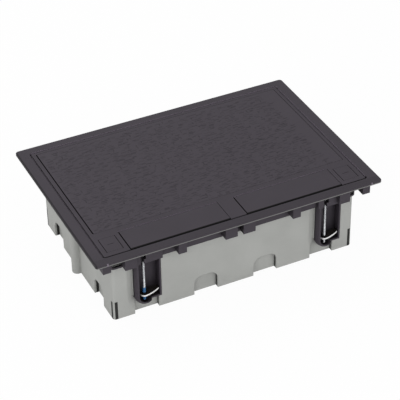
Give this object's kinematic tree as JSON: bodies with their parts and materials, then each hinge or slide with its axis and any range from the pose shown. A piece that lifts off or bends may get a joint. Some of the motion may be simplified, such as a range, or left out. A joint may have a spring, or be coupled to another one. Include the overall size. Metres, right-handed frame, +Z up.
{
  "type": "floor socket box",
  "caption": "Rectangular raised-floor socket box with a flush hinged lid, cable flaps, screw-driven fixing claws, and power and data outlets inside.",
  "frame": {"origin": "centre of the grey box's base, which the part stands on", "axes": "+X along the long side, +Y from the cable flaps to the lid's hinge, +Z up out of the floor"},
  "size_m": [0.276, 0.191, 0.077],
  "materials": {
    "dark_plastic": "fine matt, warm charcoal",
    "textured_plastic": "matt charcoal with an embossed weave",
    "grey_plastic": "matt light grey",
    "white_plastic": "gloss white",
    "black_plastic": "matt black",
    "zinc_steel": "bright zinc plated",
    "nickel": "nickel plated spring steel",
    "brass": "plain brass",
    "foam": "black foam"
  },
  "bodies": {
    "base": {"frame": "dark_plastic", "floor_box": "grey_plastic", "box_fixing_screws": "zinc_steel", "partition": "grey_plastic", "earth_terminal_bar": "brass", "earth_terminal_screws": "zinc_steel", "left_power_socket": "white_plastic", "middle_power_socket": "white_plastic", "right_power_socket": "white_plastic", "socket_earth_clips": "nickel", "left_data_outlet": "white_plastic", "middle_data_outlet": "white_plastic", "right_data_outlet": "white_plastic", "data_jacks": "black_plastic", "power_device_frame": "black_plastic", "data_device_frame": "black_plastic", "device_frame_screws": "zinc_steel"},
    "lid": {"lid": "dark_plastic", "textured_panel": "textured_plastic", "lid_hinge_pins": "zinc_steel", "flap_hinge_pins": "zinc_steel"},
    "left_flap": {"left_cable_flap": "dark_plastic", "left_flap_seal": "foam"},
    "left_latch": {"left_lid_latch": "dark_plastic"},
    "left_bolt": {"left_latch_bolt": "zinc_steel"},
    "right_flap": {"right_cable_flap": "dark_plastic", "right_flap_seal": "foam"},
    "right_latch": {"right_lid_latch": "dark_plastic"},
    "right_bolt": {"right_latch_bolt": "zinc_steel"},
    "front_left_screw": {"front_left_claw_screw": "zinc_steel"},
    "front_left_collar": {"front_left_claw_collar": "zinc_steel"},
    "front_left_claw": {"front_left_claw": "zinc_steel"},
    "front_right_screw": {"front_right_claw_screw": "zinc_steel"},
    "front_right_collar": {"front_right_claw_collar": "zinc_steel"},
    "front_right_claw": {"front_right_claw": "zinc_steel"},
    "rear_right_screw": {"rear_right_claw_screw": "zinc_steel"},
    "rear_right_collar": {"rear_right_claw_collar": "zinc_steel"},
    "rear_right_claw": {"rear_right_claw": "zinc_steel"},
    "rear_left_screw": {"rear_left_claw_screw": "zinc_steel"},
    "rear_left_collar": {"rear_left_claw_collar": "zinc_steel"},
    "rear_left_claw": {"rear_left_claw": "zinc_steel"}
  },
  "joints": [
    {"name": "lid_hinge", "type": "hinge", "parent": "base", "child": "lid", "pos_m": [0, 0.0837, 0.0745], "axis": [-1, 0, 0], "range_deg": [0, 100]},
    {"name": "left_flap_hinge", "type": "hinge", "parent": "lid", "child": "left_flap", "pos_m": [-0.0548, -0.059, 0.0758], "axis": [-1, 0, 0], "range_deg": [0, 95]},
    {"name": "left_latch_press", "type": "slide", "parent": "lid", "child": "left_latch", "axis": [0, 0, -1], "range_m": [0, 0.0018], "stiffness_N_per_m": 500},
    {"name": "left_bolt_slide", "type": "slide", "parent": "lid", "child": "left_bolt", "axis": [0, -1, 0], "range_m": [0, 0.0018]},
    {"name": "right_flap_hinge", "type": "hinge", "parent": "lid", "child": "right_flap", "pos_m": [0.0554, -0.059, 0.0758], "axis": [-1, 0, 0], "range_deg": [0, 95]},
    {"name": "right_latch_press", "type": "slide", "parent": "lid", "child": "right_latch", "axis": [0, 0, -1], "range_m": [0, 0.0018], "stiffness_N_per_m": 500},
    {"name": "right_bolt_slide", "type": "slide", "parent": "lid", "child": "right_bolt", "axis": [0, -1, 0], "range_m": [0, 0.0018]},
    {"name": "front_left_screw_turn", "type": "hinge", "parent": "base", "child": "front_left_screw", "pos_m": [-0.0892, -0.0794, 0.042], "axis": [0, 0, -1], "range_deg": [0, 23040]},
    {"name": "front_left_claw_rise", "type": "slide", "parent": "base", "child": "front_left_collar", "axis": [0, 0, 1], "range_m": [0, 0.032]},
    {"name": "front_left_claw_swing", "type": "hinge", "parent": "front_left_collar", "child": "front_left_claw", "pos_m": [-0.0892, -0.0794, 0.02], "axis": [0, 0, -1], "range_deg": [0, 90]},
    {"name": "front_right_screw_turn", "type": "hinge", "parent": "base", "child": "front_right_screw", "pos_m": [0.0892, -0.0794, 0.042], "axis": [0, 0, -1], "range_deg": [0, 23040]},
    {"name": "front_right_claw_rise", "type": "slide", "parent": "base", "child": "front_right_collar", "axis": [0, 0, 1], "range_m": [0, 0.032]},
    {"name": "front_right_claw_swing", "type": "hinge", "parent": "front_right_collar", "child": "front_right_claw", "pos_m": [0.0892, -0.0794, 0.02], "axis": [0, 0, -1], "range_deg": [0, 90]},
    {"name": "rear_right_screw_turn", "type": "hinge", "parent": "base", "child": "rear_right_screw", "pos_m": [0.0892, 0.0794, 0.042], "axis": [0, 0, -1], "range_deg": [0, 23040]},
    {"name": "rear_right_claw_rise", "type": "slide", "parent": "base", "child": "rear_right_collar", "axis": [0, 0, 1], "range_m": [0, 0.032]},
    {"name": "rear_right_claw_swing", "type": "hinge", "parent": "rear_right_collar", "child": "rear_right_claw", "pos_m": [0.0892, 0.0794, 0.02], "axis": [0, 0, -1], "range_deg": [0, 90]},
    {"name": "rear_left_screw_turn", "type": "hinge", "parent": "base", "child": "rear_left_screw", "pos_m": [-0.0892, 0.0794, 0.042], "axis": [0, 0, -1], "range_deg": [0, 23040]},
    {"name": "rear_left_claw_rise", "type": "slide", "parent": "base", "child": "rear_left_collar", "axis": [0, 0, 1], "range_m": [0, 0.032]},
    {"name": "rear_left_claw_swing", "type": "hinge", "parent": "rear_left_collar", "child": "rear_left_claw", "pos_m": [-0.0892, 0.0794, 0.02], "axis": [0, 0, -1], "range_deg": [0, 90]}
  ],
  "couplings": [
    {"joint": "left_bolt_slide", "follows": "left_latch_press", "ratio": 1},
    {"joint": "right_bolt_slide", "follows": "right_latch_press", "ratio": 1},
    {"joint": "front_left_screw_turn", "follows": "front_left_claw_rise", "rad_per_m": 12566},
    {"joint": "front_right_screw_turn", "follows": "front_right_claw_rise", "rad_per_m": 12566},
    {"joint": "rear_right_screw_turn", "follows": "rear_right_claw_rise", "rad_per_m": 12566},
    {"joint": "rear_left_screw_turn", "follows": "rear_left_claw_rise", "rad_per_m": 12566}
  ]
}
